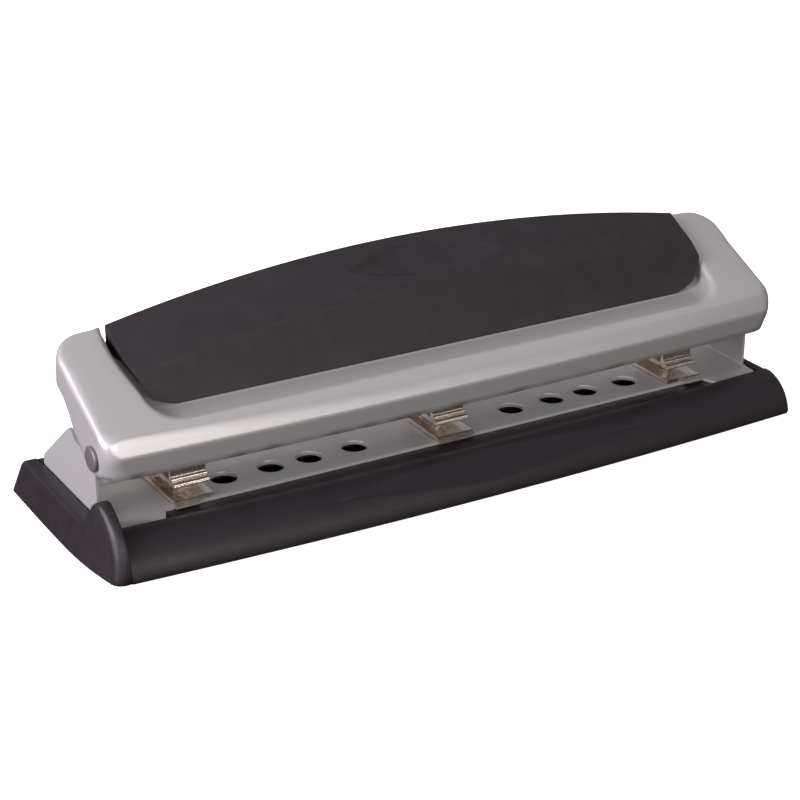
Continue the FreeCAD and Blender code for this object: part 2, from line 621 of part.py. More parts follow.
def pad_body(inset):
    """The pad's outer form, or the same form moved in by inset."""
    half = cell.pad_half.value - inset
    drop = cell.floor_drop.value - cell.pad_gap.value
    lean = math.radians(cell.pad_lean_deg.value)
    lower_y, lower_z = -5.7 + inset, plane_z(-5.7, drop)
    reach = 45.0
    front_y = lower_y + reach / math.tan(lean)
    rear_y = 19.6 - inset
    rear_front = rear_y + (reach - 20.0) / math.tan(lean)
    side = [(lower_y, lower_z), (front_y, lower_z + reach), (rear_front + 2.0, lower_z + reach + 6.0),
            (rear_y - 0.8, 70.0), (22.3 - inset, 67.5), (22.3 - inset, plane_z(22.3, drop))]
    block_form = prism(side, -half, half)
    crown = cell.pad_crown.value
    chord = cell.pad_half.value
    radius = (chord ** 2 + crown ** 2) / (2 * crown)
    tilt = math.radians(cell.pad_tilt_deg.value)
    along = Vector(0, math.cos(tilt), math.sin(tilt))
    across = Vector(0, -math.sin(tilt), math.cos(tilt))
    crest = Vector(0, -cell.pad_crest_back.value, cell.pad_crest_up.value) + across * (crown - radius)
    arch = Part.makeCylinder(radius - inset, 120.0, crest - along * 60.0, along)
    form = block_form.common(arch)
    ends = prism([(lower_y - 1, lower_z - 1), (30, lower_z - 1), (30, 95), (lower_y - 1, 95)], -half, half)
    low_front, low_rear = lower_y - 2, lower_y + 6.5
    for side_sign in (-1, 1):
        wedge = [(half - 9.0, low_front), (half - 0.8, low_rear), (half + 12, low_rear), (half + 12, low_front)]
        loop = [Vector(side_sign * x, y, lower_z - 2) for x, y in wedge + wedge[:1]]
        corner = Part.Face(Part.makePolygon(loop)).extrude(Vector(0, 4, 14.5))
        ends = ends.cut(corner)
    return form.common(ends)


def make_handle_pad():
    """Black plastic palm pad in the handle's recess: a hollow moulding with an arched top."""
    wall = cell.pad_wall.value
    outer = pad_body(0.0)
    hollow = pad_body(wall)
    hollow = hollow.fuse(hollow.copy().translated(Vector(0, 0, -wall - 1.0)))
    pad_shape = outer.cut(hollow)
    floor = cell.floor_drop.value - cell.pad_gap.value
    room = [(-5.0, plane_z(-5.0, floor)), (22.0, plane_z(22.0, floor)), (22.0, 90.0), (-5.0, 90.0)]
    above_floor = prism(room, -120.0, 120.0)
    for side in (-1, 1):
        x = side * cell.pad_screw_x.value
        y = cell.pad_screw_y.value
        base = plane_z(y, cell.floor_drop.value)
        post = Part.makeCylinder(cell.pad_post_radius.value, 30.0, Vector(x, y, base - 2.0))
        hole_radius = cell.screw_radius.value + cell.pivot_play.value
        hole = Part.makeCylinder(hole_radius, cell.pad_screw_length.value, Vector(x, y, base - 2.0))
        post = post.common(above_floor).common(pad_body(wall * 0.5))
        pad_shape = pad_shape.fuse(post).cut(hole)
    group("handle_pad", [one_solid(pad_shape)])


def make_press_bar():
    """Bar with a round nose, welded under the handle's recess, that bears on the pins' tops."""
    body = new_body("press_bar")
    web = new_sketch(body, "press_web", "YZ_Plane")
    side = cell.press_radius.value
    under = cell.floor_drop.value
    sheet_t = cell.handle_gauge.value
    outline(web, [(-cell.press_radius, cell.press_height), (cell.press_radius, cell.press_height),
                  (cell.press_radius, plane_z(side, under) - sheet_t),
                  (-cell.press_radius, plane_z(-side, under) - sheet_t)])
    pad(body, "press_web_pad", web, cell.press_half * 2, True)
    nose = new_sketch(body, "press_nose", "YZ_Plane")
    circle(nose, 0, cell.press_height, cell.press_radius)
    pad(body, "press_nose_pad", nose, cell.press_half * 2, True)
    put(body)


def make_pad_screws():
    solids = []
    for side in (-1, 1):
        x, y = side * cell.pad_screw_x.value, cell.pad_screw_y.value
        under = plane_z(y, cell.floor_drop.value) - cell.handle_gauge.value
        lowest = under - 2.2
        head = Part.makeCylinder(cell.screw_head_radius.value, cell.screw_head_height.value,
                                 Vector(x, y, lowest - cell.screw_head_height.value))
        stem = Part.makeCylinder(cell.screw_radius.value, cell.pad_screw_length.value, Vector(x, y, lowest))
        solids.append(one_solid(head.fuse(stem)))
    group("pad_screws", solids)


make_base_plate()
make_base_moulding()
make_chip_drawer()
make_small_parts()
for head_name, head_place in head_places.items():
    make_head(head_name, head_place)
make_handle_shell()
make_handle_pad()
make_press_bar()
make_pad_screws()
doc.recompute()

for item in doc.Objects:
    if "Invalid" in item.State or "Error" in item.State:
        raise RuntimeError(f"{item.Name} did not compute: {item.State}")
os.makedirs("parts", exist_ok=True)
for node in nodes:
    if node.Shape.isNull() or not node.Shape.isValid():
        raise RuntimeError(f"{node.Label} has no valid shape")
    node.Shape.exportStep(f"parts/{node.Label}.step")
    box = node.Shape.BoundBox
    print(f"{node.Label}: {len(node.Shape.Solids)} solids, X {box.XMin:.1f} {box.XMax:.1f}, "
          f"Y {box.YMin:.1f} {box.YMax:.1f}, Z {box.ZMin:.1f} {box.ZMax:.1f}")
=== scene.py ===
"""Looks of the three hole punch: moulded and pressed shells, springs, finishes, light and camera.

Pieces are drawn in millimetres in the machine frame: X along the punch from the middle of its plate,
Y towards the rear from the punch pins, Z up from the table. place() turns that into the row frame.
"""
import bmesh
import bpy
import json
import math
from mathutils import Matrix, Vector


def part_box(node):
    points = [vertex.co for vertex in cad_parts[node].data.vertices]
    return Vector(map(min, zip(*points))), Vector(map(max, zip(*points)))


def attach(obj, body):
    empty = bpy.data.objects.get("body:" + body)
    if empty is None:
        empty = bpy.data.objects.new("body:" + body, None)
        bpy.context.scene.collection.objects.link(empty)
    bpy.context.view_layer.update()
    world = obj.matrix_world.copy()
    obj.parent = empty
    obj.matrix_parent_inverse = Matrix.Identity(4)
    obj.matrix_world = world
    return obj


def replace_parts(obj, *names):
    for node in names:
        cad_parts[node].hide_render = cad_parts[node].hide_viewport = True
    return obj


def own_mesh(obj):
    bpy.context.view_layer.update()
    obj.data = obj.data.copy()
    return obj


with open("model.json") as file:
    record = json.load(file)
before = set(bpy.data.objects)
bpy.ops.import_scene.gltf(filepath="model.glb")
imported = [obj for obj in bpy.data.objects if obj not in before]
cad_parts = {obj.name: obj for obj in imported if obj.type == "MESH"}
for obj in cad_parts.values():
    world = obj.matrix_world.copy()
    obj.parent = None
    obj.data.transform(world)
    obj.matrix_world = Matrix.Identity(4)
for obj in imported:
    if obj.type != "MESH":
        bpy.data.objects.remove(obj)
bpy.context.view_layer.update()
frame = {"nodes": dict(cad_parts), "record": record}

MM = 0.001
plate_low, plate_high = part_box("base_plate")
pin_low, pin_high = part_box("punch_pin_middle")
ORIGIN = Vector(((plate_low.x + plate_high.x) / 2, (pin_low.y + pin_high.y) / 2, 0.0))


def place(x, y, z):
    """A machine frame point in millimetres as a row frame point in metres."""
    return ORIGIN + Vector((x, y, z)) * MM


# ---------------------------------------------------------------- mesh helpers
def lerp(first, last, share):
    """The value at a share of the way from first to last."""
    return first + (last - first) * share


def steps(first, last, count):
    """Evenly spaced numbers from first to last, both included."""
    return [lerp(first, last, index / (count - 1)) for index in range(count)]


def along(table, at):
    """Reads a table of (place, value) pairs at a place between them."""
    if at <= table[0][0]:
        return table[0][1]
    for (low, low_value), (high, high_value) in zip(table, table[1:]):
        if at <= high:
            return lerp(low_value, high_value, (at - low) / (high - low))
    return table[-1][1]


LONGEST_ARC_SHARE = 0.49
SMALLEST_COSINE = 0.2
WELD, SLIVER = 0.002, 0.001
AROUND = 48


def rounded(corners, radii, arc=6, span=3):
    """A line through corners with the inner ones rounded. Its point count depends only on the counts."""
    points = [Vector(corners[0])]
    for index in range(1, len(corners) - 1):
        before, corner, after = (Vector(corners[index + step]) for step in (-1, 0, 1))
        inward, outward = (corner - before), (after - corner)
        turn = inward.angle(outward, 0.0)
        room = LONGEST_ARC_SHARE * min(inward.length, outward.length)
        reach = min(radii[index - 1] * math.tan(turn / 2), room)
        start = corner - inward.normalized() * reach
        end = corner + outward.normalized() * reach
        last = points[-1]
        points += [last.lerp(start, share) for share in steps(0, 1, span + 1)[1:-1]]
        bulge = 1.0 / max(math.cos(turn / 2), SMALLEST_COSINE)
        for share in steps(0, 1, arc + 1):
            weights = ((1 - share) ** 2 * bulge, 2 * share * (1 - share), share ** 2 * bulge)
            total = sum(weights)
            points.append((start * weights[0] + corner * weights[1] + end * weights[2]) / total)
    last = points[-1]
    points += [last.lerp(Vector(corners[-1]), share) for share in steps(0, 1, span + 1)[1:]]
    return points


def made(name, points, faces, body, material, crease=32):
    """Links a piece from machine frame points, with smooth faces that stay sharp past the crease angle."""
    mesh = bpy.data.meshes.new(name)
    mesh.from_pydata([place(*point) for point in points], [], faces)
    piece = bpy.data.objects.new(name, mesh)
    bpy.context.scene.collection.objects.link(piece)
    tidy(piece, crease)
    mesh.materials.append(material)
    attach(piece, body)
    return piece


def tidy(piece, crease):
    """Welds a piece's double points, turns its faces outwards and shades it smooth."""
    work = bmesh.new()
    work.from_mesh(piece.data)
    bmesh.ops.remove_doubles(work, verts=work.verts, dist=WELD * MM)
    bmesh.ops.dissolve_degenerate(work, edges=work.edges, dist=SLIVER * MM)
    bmesh.ops.recalc_face_normals(work, faces=work.faces)
    work.to_mesh(piece.data)
    work.free()
    piece.data.shade_smooth()
    piece.data.set_sharp_from_angle(angle=math.radians(crease))


def settle(piece, crease=32):
    """Applies a piece's modifiers to its mesh."""
    graph = bpy.context.evaluated_depsgraph_get()
    mesh = bpy.data.meshes.new_from_object(piece.evaluated_get(graph))
    piece.modifiers.clear()
    piece.data = mesh
    tidy(piece, crease)


def soften(piece, width, angle, segments):
    """Rounds a piece's edges that are sharper than an angle by a width in millimetres."""
    bevel = piece.modifiers.new("edges", "BEVEL")
    bevel.width = width * MM
    bevel.segments = segments
    bevel.limit_method = "ANGLE"
    bevel.angle_limit = math.radians(angle)
    bevel.use_clamp_overlap = True
    bevel.harden_normals = False


def cut(piece, tool, how="DIFFERENCE"):
    """Cuts a tool out of a piece, or adds it, and removes the tool."""
    step = piece.modifiers.new("cut", "BOOLEAN")
    step.object = tool
    step.operation = how
    step.solver = "EXACT"
    settle(piece)
    bpy.data.objects.remove(tool)


def joined(name, pieces):
    """Makes one piece of several on the same body."""
    target = pieces[0]
    with bpy.context.temp_override(active_object=target, selected_editable_objects=pieces):
        bpy.ops.object.join()
    target.name = name
    return target


def grid_faces(rows, columns, closed=False):
    """Faces over points that are listed row by row. A closed grid joins each row's end to its start."""
    faces = []
    for row in range(rows - 1):
        for column in range(columns if closed else columns - 1):
            following = (column + 1) % columns
            faces.append((row * columns + column, row * columns + following,
                          (row + 1) * columns + following, (row + 1) * columns + column))
    return faces


def loft(name, sections, body, slot, material, crease=32):
    """A closed solid through closed sections that all have the same number of points."""
    count = len(sections[0])
    points = [point for section in sections for point in section]
    faces = grid_faces(len(sections), count, closed=True)
    faces.append(tuple(range(count)))
    faces.append(tuple(range(len(points) - count, len(points))))
    return made(name, points, faces, body, material, crease)


def turned(name, profile, centre, axis, body, slot, material):
    """A turned solid: the profile's (radius, height) corners swept round an axis through the centre."""
    turn = Vector(axis).to_track_quat("Z", "Y").to_matrix()
    angles = [2 * math.pi * index / AROUND for index in range(AROUND)]
    rings = [[Vector(centre) + turn @ Vector((radius * math.cos(angle), radius * math.sin(angle), height))
              for angle in angles] for radius, height in profile]
    return loft(name, rings, body, slot, material)


def prism(name, outline, low_x, high_x, body, slot, material, width):
    """A bar along X from a closed (y, z) outline, with softened edges."""
    sections = [[Vector((x, y, z)) for y, z in outline] for x in (low_x, high_x)]
    piece = loft(name, sections, body, slot, material)
    soften(piece, width, 30, 3)
    settle(piece, 40)
    return piece


def block(name, low, high, body, slot, material, width=0.3):
    """A box between two corners, with softened edges."""
    outline = [(low[1], low[2]), (high[1], low[2]), (high[1], high[2]), (low[1], high[2])]
    return prism(name, outline, low[0], high[0], body, slot, material, width)


# ---------------------------------------------------------------- finishes
NOISE_SPAN = (0.3, 0.7)


class Finish:
    """A procedural material whose nodes are added one by one."""

    def __init__(self, name, colour, rough, metal=0.0):
        self.material = bpy.data.materials.new(name)
        self.material.use_nodes = True
        self.tree = self.material.node_tree
        self.shader = self.tree.nodes["Principled BSDF"]
        self.shader.inputs["Metallic"].default_value = metal
        self.colour = colour
        self.rough = rough
        self.coordinates = self.tree.nodes.new("ShaderNodeTexCoord")
        self.height = None

    def noise(self, scale, detail, stretch=(1, 1, 1)):
        """Noise in the piece's own coordinates, with scale in cycles per metre."""
        mapping = self.tree.nodes.new("ShaderNodeMapping")
        mapping.inputs["Scale"].default_value = stretch
        texture = self.tree.nodes.new("ShaderNodeTexNoise")
        texture.inputs["Scale"].default_value = scale
        texture.inputs["Detail"].default_value = detail
        self.tree.links.new(self.coordinates.outputs["Object"], mapping.inputs["Vector"])
        self.tree.links.new(mapping.outputs["Vector"], texture.inputs["Vector"])
        return texture.outputs["Fac"]

    def tint(self, source, low, high):
        """Colour that runs from low to high times the finish's colour with a noise."""
        ramp = self.tree.nodes.new("ShaderNodeValToRGB")
        for element, at, share in zip(ramp.color_ramp.elements, NOISE_SPAN, (low, high)):
            element.position = at
            element.color = [channel * share for channel in self.colour] + [1.0]
        self.tree.links.new(source, ramp.inputs["Fac"])
        self.tree.links.new(ramp.outputs["Color"], self.shader.inputs["Base Color"])

    def roughen(self, source, spread):
        """Roughness that varies about the finish's own by a spread."""
        span = self.tree.nodes.new("ShaderNodeMapRange")
        span.inputs["From Min"].default_value, span.inputs["From Max"].default_value = NOISE_SPAN
        span.inputs["To Min"].default_value = self.rough - spread
        span.inputs["To Max"].default_value = self.rough + spread
        self.tree.links.new(source, span.inputs["Value"])
        self.tree.links.new(span.outputs["Result"], self.shader.inputs["Roughness"])

    def bump(self, source, depth):
        """Relief of a depth in millimetres, on top of any before it."""
        bump = self.tree.nodes.new("ShaderNodeBump")
        bump.inputs["Distance"].default_value = depth * MM
        bump.inputs["Strength"].default_value = 1.0
        self.tree.links.new(source, bump.inputs["Height"])
        if self.height is not None:
            self.tree.links.new(self.height, bump.inputs["Normal"])
        self.height = bump.outputs["Normal"]
        self.tree.links.new(self.height, self.shader.inputs["Normal"])


def painted(name, colour, rough, metal, flake):
    """Metallic paint: fine flakes, slightly uneven gloss and a faint orange peel."""
    finish = Finish(name, colour, rough, metal)
    finish.tint(finish.noise(5200, 2.0), 1 - flake, 1 + flake)
    finish.roughen(finish.noise(900, 3.0), 0.03)
    finish.bump(finish.noise(420, 2.0), 0.008)
    finish.bump(finish.noise(6000, 1.0), 0.0025)
    finish.shader.inputs["Coat Weight"].default_value = 0.12
    finish.shader.inputs["Coat Roughness"].default_value = 0.3
    return finish.material


def moulded(name, colour, rough, grain, depth):
    """Moulded plastic: spark-eroded grain with faint uneven gloss."""
    finish = Finish(name, colour, rough)
    finish.tint(finish.noise(grain * 0.05, 4.0), 0.86, 1.12)
    finish.roughen(finish.noise(grain * 0.12, 3.0), 0.05)
    finish.bump(finish.noise(grain, 2.0), depth)
    finish.shader.inputs["Specular IOR Level"].default_value = 0.32
    return finish.material


def plated(name, colour, rough, stretch, spread=0.06):
    """Plated or drawn metal with fine lines along one way and a little staining."""
    finish = Finish(name, colour, rough, 1.0)
    finish.tint(finish.noise(260, 4.0), 0.86, 1.06)
    finish.roughen(finish.noise(1500, 3.0, stretch), spread)
    finish.bump(finish.noise(2600, 2.0, stretch), 0.0012)
    return finish.material


SILVER = painted("silver_paint", (0.43, 0.412, 0.41), 0.34, 0.45, 0.05)
PLATE = painted("plate_paint", (0.44, 0.425, 0.42), 0.4, 0.45, 0.05)
RIVET = painted("rivet_paint", (0.12, 0.105, 0.115), 0.5, 0.4, 0.08)
PAD = moulded("pad_plastic", (0.0205, 0.0163, 0.0184), 0.5, 2400, 0.012)
BLACK = moulded("black_plastic", (0.0145, 0.0106, 0.013), 0.46, 1800, 0.010)
NICKEL = plated("nickel", (0.95, 0.86, 0.78), 0.26, (1, 12, 12))
STEEL = plated("tool_steel", (0.58, 0.58, 0.58), 0.24, (14, 14, 1))
SPRING = plated("spring_steel", (0.5, 0.5, 0.5), 0.3, (1, 1, 6))
ZINC = plated("zinc_steel", (0.6, 0.61, 0.62), 0.32, (1, 5, 5), 0.1)
RUBBER = moulded("rubber", (0.03, 0.03, 0.03), 0.75, 1500, 0.02)
FINISHES = {"silver_paint": SILVER, "plate_paint": PLATE, "rivet_paint": RIVET, "pad_plastic": PAD,
            "black_plastic": BLACK, "nickel": NICKEL, "tool_steel": STEEL, "spring_steel": SPRING,
            "zinc_steel": ZINC, "rubber": RUBBER}

for entry in frame["record"]["subparts"]:
    node = frame["nodes"][entry["node"]]
    node.data.materials.clear()
    node.data.materials.append(FINISHES[entry["material_slot"]])


# ---------------------------------------------------------------- handle shell
OUT = 143.6
EAR_OUT = 141.9
REAR = 22.8
SLOPE = 0.4946
PLANE_HEIGHT = 59.65
FLOOR_DROP = 7.92
SKIRT_BOTTOM = 33.4
BAND_BOTTOM = 41.8
BOW = 3.0
SHEET = 1.2


def plane_z(y):
    """Height of the handle's sloping top at y."""
    return PLANE_HEIGHT + SLOPE * y


def floor_z(y):
    """Height of the recess's floor at y."""
    return plane_z(y) - FLOOR_DROP


def arc_point(centre_x, centre_y, radius, angle):
    """A plan point at an angle round a corner: 0 faces the left end and 90 degrees faces the front."""
    return centre_x - radius * math.cos(angle), centre_y - radius * math.sin(angle)


SIDE_EDGE = [(-20.0, SKIRT_BOTTOM), (-14.0, 33.2), (-10.0, 33.9), (-7.0, 35.5), (-3.5, 38.0), (0.0, 40.5),
             (3.0, 42.9), (5.3, 46.2), (7.0, 48.5), (9.1, 50.7), (11.5, 52.8), (14.9, 54.6), (16.0, 55.2)]
FRONT_RINGS = (-23.5, -25.0, -22.6)
FRONT_CORNERS = (10.0, 6.0, 5.0)
REAR_CORNER = (7.0, 8.0, 9.5)
RIM_HALF, RIM_HALF_FRONT, RIM_FRONT, RIM_CORNER = 124.1, 121.6, -20.3, 13.0
FLOOR_HALF, FLOOR_FRONT, FLOOR_CORNER = 123.4, -6.4, 9.0
INNER_HALF, INNER_FRONT, INNER_CORNER = 115.0, 0.0, 4.0
SIDE_RADII = (20.0, 4.0, 3.0, 2.0)
FRONT_RADII = (3.2, 4.6, 3.2, 5.0)
REAR_DEPTH = 7.0
TAPER_START = 0.2
REAR_START = 126.0
REAR_STRAIGHT = 0.35
REAR_LOWS = (60.6, 59.4, 55.2)
SHELL_EDGE = 0.22


def recess_ring(half, half_front, front, corner, drop, share, region):
    """A point of one of the recess's rings, by region of the outline and by share of that region."""
    if region == "rear":
        y = lerp(REAR, REAR - REAR_DEPTH, share)
        return Vector((-half, y, plane_z(y) - drop))
    if region == "side":
        y = lerp(REAR - REAR_DEPTH, front + corner, share)
        taper = max(0.0, share - TAPER_START) / (1 - TAPER_START)
        return Vector((-lerp(half, half_front, taper), y, plane_z(y) - drop))
    if region == "corner":
        x, y = arc_point(-half_front + corner, front + corner, corner, share * math.pi / 2)
        return Vector((x, y, plane_z(y) - drop))
    x = lerp(-half_front + corner, 0.0, share)
    return Vector((x, front, plane_z(front) - drop))


def shell_station(region, share):
    """The shell's section at a place on its outline, from its lower edge up and into the recess."""
    keys = []
    for ring, (front, front_corner, rear_radius) in enumerate(zip(FRONT_RINGS, FRONT_CORNERS, REAR_CORNER)):
        side_start = REAR - rear_radius
        side_end = front + front_corner
        if region == "rear" and share < REAR_STRAIGHT:
            part = share / REAR_STRAIGHT
            x, y = lerp(-REAR_START, -OUT + rear_radius, part), REAR
            low = lerp(REAR_LOWS[0], REAR_LOWS[1], part)
        elif region == "rear":
            part = (share - REAR_STRAIGHT) / (1 - REAR_STRAIGHT)
            x = -OUT + rear_radius - rear_radius * math.sin(part * math.pi / 2)
            y = side_start + rear_radius * math.cos(part * math.pi / 2)
            low = lerp(REAR_LOWS[1], REAR_LOWS[2], part)
        elif region == "side":
            x, y = -OUT, lerp(side_start, side_end, share)
            low = along(SIDE_EDGE, y)
        elif region == "corner":
            x, y = arc_point(-OUT + front_corner, side_end, front_corner, share * math.pi / 2)
            low = SKIRT_BOTTOM
        else:
            x = lerp(-OUT + front_corner, 0.0, share)
            y = front - BOW * (1 - (x / (OUT - front_corner)) ** 2)
            low = SKIRT_BOTTOM
        top = plane_z(y)
        if ring == 0:
            z = low
        elif ring == 2:
            z = top
        else:
            z = max(BAND_BOTTOM, lerp(low, top, 0.5)) if region in ("rear", "side") else BAND_BOTTOM
        keys.append(Vector((x, y, z)))
    keys += [recess_ring(*shape, share, region) for shape in (
        (RIM_HALF, RIM_HALF_FRONT, RIM_FRONT, RIM_CORNER, 0.0),
        (FLOOR_HALF, FLOOR_HALF - 1.0, FLOOR_FRONT, FLOOR_CORNER, FLOOR_DROP),
        (INNER_HALF, INNER_HALF, INNER_FRONT, INNER_CORNER, FLOOR_DROP))]
    blend = {"rear": 0.0, "side": 0.0, "corner": share, "front": 1.0}[region]
    radii = [lerp(side, front, blend) for side, front in zip(SIDE_RADII, FRONT_RADII)]
    return rounded(keys, radii)


def handle_shell():
    """The handle's pressed shell, from a half outline and its mirror image."""
    outline = []
    for region, count in (("rear", 18), ("side", 26), ("corner", 14), ("front", 22)):
        shares = steps(0, 1, count)
        outline += [(region, share) for share in (shares if region == "front" else shares[:-1])]
    left = [shell_station(region, share) for region, share in outline]
    right = [[Vector((-point.x, point.y, point.z)) for point in station] for station in reversed(left[:-1])]
    stations = left + right
    count = len(stations[0])
    points = [point for station in stations for point in station]
    faces = grid_faces(len(stations), count)
    faces.append(tuple(index * count + count - 1 for index in range(len(stations))))
    shell = made("shell", points, faces, "handle", SILVER, crease=50)
    if shell.data.polygons[-1].normal.z < 0:
        shell.data.flip_normals()
    skin = shell.modifiers.new("sheet", "SOLIDIFY")
    skin.thickness = SHEET * MM
    skin.offset = -1
    skin.use_even_offset = True
    settle(shell, 50)
    soften(shell, SHELL_EDGE, 60, 2)
    settle(shell, 50)
    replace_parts(shell, "handle_shell")


handle_shell()


# ---------------------------------------------------------------- handle pad
PAD_CROWN = 8.42
PAD_CHORD = 123.5
FRONT_LEAN = math.radians(74.3)
TOP_LEAN = math.radians(27.9)
LOWER_EDGE = Vector((0.0, -5.9, 48.75))
CREASE_END = Vector((0.0, -2.45, 61.0))
TOP_DEPTH = 25.1
CREASE_HALF = 121.8
REAR_HALF = 123.4
THUMB_CENTRE = (3.2, 11.5)
THUMB_HALF = (33.5, 7.4)
THUMB_DEPTH = 2.3
THUMB_SKEW = 0.02
PAD_FLARE = 5.4
PAD_FOOT_TURN, PAD_FOOT_SHARE, PAD_FOOT_POWER = 8.6, 0.42, 2.4
PAD_REAR_GAP, PAD_FLOOR_GAP = 0.6, 0.15
COLUMN_BLEND = 0.6
PAD_EDGE = 0.5


def front_half(share):
    """Half width of the pad's front face, from its lower edge at 0 to the crease at 1."""
    foot = PAD_FOOT_TURN * max(0.0, 1 - share / PAD_FOOT_SHARE) ** PAD_FOOT_POWER
    return CREASE_HALF - PAD_FLARE * (1 - share) - foot


def thumb_drop(x, y):
    """Depth of the thumb recess at a point of the top face."""
    across = (x - THUMB_CENTRE[0]) / THUMB_HALF[0]
    along_slope = (y - THUMB_CENTRE[1] + THUMB_SKEW * x) / THUMB_HALF[1]
    waist = 1 - across ** 2
    if abs(along_slope) >= waist:
        return 0.0
    return THUMB_DEPTH * waist ** 0.6 * (1 - (along_slope / waist) ** 2) ** 0.75


def pad_rise(x, arch):
    """How far the arched crown lifts the crease at x, along the front face."""
    return PAD_CROWN * (1 - (x / PAD_CHORD) ** 2) / arch


def handle_pad():
    """The palm pad: a leaning front face, a crease and an arched top with a shallow thumb recess."""
    front_rows, top_rows = steps(0, 1, 15), steps(0, 1, 56)
    arch = math.cos(math.pi / 2 + TOP_LEAN - FRONT_LEAN)
    front_way = Vector((0, math.cos(FRONT_LEAN), math.sin(FRONT_LEAN)))
    top_way = Vector((0, math.cos(TOP_LEAN), math.sin(TOP_LEAN)))
    columns = [lerp(math.sin(step * math.pi / 2), step, COLUMN_BLEND) for step in steps(-1, 1, 201)]
    rows = []
    for share in front_rows:
        row = []
        for column in columns:
            x = column * front_half(share)
            crease = CREASE_END + front_way * pad_rise(x, arch)
            point = LOWER_EDGE.lerp(crease, share)
            row.append(Vector((x, point.y, point.z)))
        rows.append(row)
    for share in top_rows[1:]:
        row = []
        for column in columns:
            x = column * lerp(CREASE_HALF, REAR_HALF, min(1.0, share * 3))
            point = CREASE_END + front_way * pad_rise(x, arch) + top_way * (TOP_DEPTH * share)
            row.append(Vector((x, point.y, point.z - thumb_drop(x, point.y))))
        rows.append(row)
    rear = REAR - PAD_REAR_GAP
    rear_edge = rows[-1]
    rear_foot = [Vector((point.x, min(point.y, rear), floor_z(rear) + PAD_FLOOR_GAP)) for point in rear_edge]
    for share in steps(0, 1, 5)[1:]:
        rows.append([edge.lerp(foot, share) for edge, foot in zip(rear_edge, rear_foot)])
    for share in steps(0, 1, 6)[1:-1]:
        rows.append([foot.lerp(front, share) for foot, front in zip(rear_foot, rows[0])])
    sections = [[row[index] for row in rows] for index in range(len(columns))]
    pad = loft("pad", sections, "handle", "pad_plastic", PAD, crease=28)
    soften(pad, PAD_EDGE, 34, 3)
    settle(pad, 40)
    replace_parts(pad, "handle_pad")


handle_pad()


# ---------------------------------------------------------------- base moulding
BASE_LEFT, BASE_RIGHT = -142.4, 145.0
BAR_LEFT = -141.05
BASE_BOTTOM = 0.8
BAR_FRONT, BAR_BOW = -41.0, 4.5
BAR_TOP, SHELF = 15.0, 12.3
BAR_WALL = 2.2
SCOOP_MIDDLE, SCOOP_HALF, SCOOP_END = 5.0, 68.0, 5.5
SCOOP_LOW, SCOOP_HIGH, SCOOP_SAG = 1.5, 12.8, 0.5
BAR_REAR, BAR_REAR_INNER = -18.9, -20.6
BAR_END_ROUND = 1.1
DENT_LOW, DENT_HIGH = (-100.4, -23.6, SHELF - 0.8), (-88.6, -19.4, SHELF + 2.0)
REAR_OUT = 54.0
REAR_RAIL = [(51.1, BASE_BOTTOM), (44.4, 11.0), (40.8, 11.0), (40.8, 15.6), (43.6, 15.6), (45.6, 14.9),
             (46.8, 13.0), (REAR_OUT - 0.7, BASE_BOTTOM + 0.6), (REAR_OUT - 0.9, BASE_BOTTOM)]
CHEEK_TOP = 14.4
DECK_UNDER = 10.5
CHIP_SLOT_HALF = 5.5
RAIL_FRONT, RAIL_REAR, RAIL_WALL, RAIL_TOP = -22.6, 32.6, 1.8, 10.6
WEB_HALF, WEB_TOP = 5.5, 3.0


def circle_through(first, middle, last, count):
    """Points on the arc from first to last through middle, all given as (y, z)."""
    (ax, ay), (bx, by), (cx, cy) = first, middle, last
    spread = 2 * (ax * (by - cy) + bx * (cy - ay) + cx * (ay - by))
    a, b, c = ax * ax + ay * ay, bx * bx + by * by, cx * cx + cy * cy
    x = (a * (by - cy) + b * (cy - ay) + c * (ay - by)) / spread
    y = (a * (cx - bx) + b * (ax - cx) + c * (bx - ax)) / spread
    radius = math.hypot(ax - x, ay - y)
    start, end = math.atan2(ay - y, ax - x), math.atan2(cy - y, cx - x)
    turn = (end - start + math.pi) % (2 * math.pi) - math.pi
    return [(x + radius * math.cos(start + turn * share), y + radius * math.sin(start + turn * share))
            for share in steps(0, 1, count)]


def inset(line, depth):
    """Moves an open (y, z) line inwards, to its right, by a depth or by one depth for each point."""
    moved = []
    for index, (y, z) in enumerate(line):
        before, after = line[max(index - 1, 0)], line[min(index + 1, len(line) - 1)]
        way = Vector((after[0] - before[0], after[1] - before[1])).normalized()
        amount = depth[index] if isinstance(depth, list) else depth
        moved.append((y + way.y * amount, z - way.x * amount))
    return moved


def bar_front(x):
    """Y of the bowed bar's front at x."""
    return BAR_FRONT + BAR_BOW * (x / BASE_RIGHT) ** 2


def scooped(y, z, low_y, high_y, low_z, high_z):
    """Height of the bar's front at y where the scoop cuts a shallow hollow between two places."""
    if not low_y < y < high_y:
        return z
    share = (y - low_y) / (high_y - low_y)
    return min(z, lerp(low_z, high_z, share) - SCOOP_SAG * 4 * share * (1 - share))


